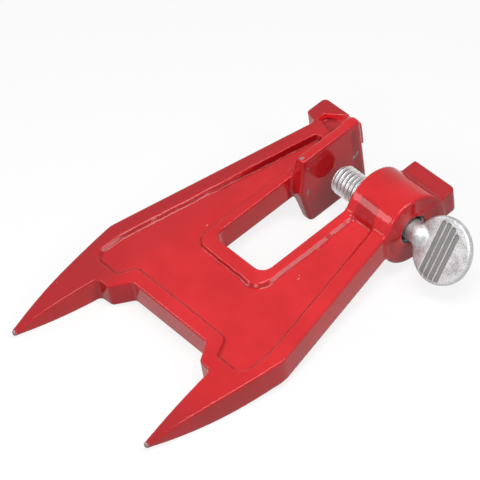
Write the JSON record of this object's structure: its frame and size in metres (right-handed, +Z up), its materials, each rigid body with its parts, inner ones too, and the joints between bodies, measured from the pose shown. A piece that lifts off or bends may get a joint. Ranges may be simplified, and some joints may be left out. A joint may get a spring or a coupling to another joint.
{
  "type": "chainsaw stump vise",
  "caption": "Cast stump vise for filing a chainsaw: flat red frame with two spikes, a fixed jaw plate, and a zinc plated thumb screw that clamps the saw's bar.",
  "frame": {"origin": "centre of the fixed jaw's clamping face, on the axis of the thumb screw", "axes": "+X along the screw from the jaw face to the screw's head, +Y level from the spikes to the strike blocks, +Z up as the vise lies on a floor, on the undersides of its spikes and the lower edge of its jaw; the flat frame rises by 7.85 degrees from the spikes to the strike blocks"},
  "size_m": [0.1157, 0.1647, 0.0386],
  "materials": {
    "red_paint": "thick gloss enamel over rough cast iron",
    "zinc": "bright zinc plating, rough on the head"
  },
  "bodies": {
    "vise_body": {"cast_body": "red_paint"},
    "screw_travel": {"screw_core": "zinc"},
    "screw_turning": {"thumb_screw": "zinc"}
  },
  "joints": [
    {"name": "screw_advance", "type": "slide", "parent": "vise_body", "child": "screw_travel", "axis": [1, 0, 0], "range_m": [-0.003, 0.03]},
    {"name": "screw_turn", "type": "hinge", "parent": "screw_travel", "child": "screw_turning", "pos_m": [0, 0, 0], "axis": [1, 0, 0], "range_deg": [-554, 5528]}
  ],
  "couplings": [
    {"joint": "screw_turn", "follows": "screw_advance", "rad_per_m": 3215.8}
  ]
}
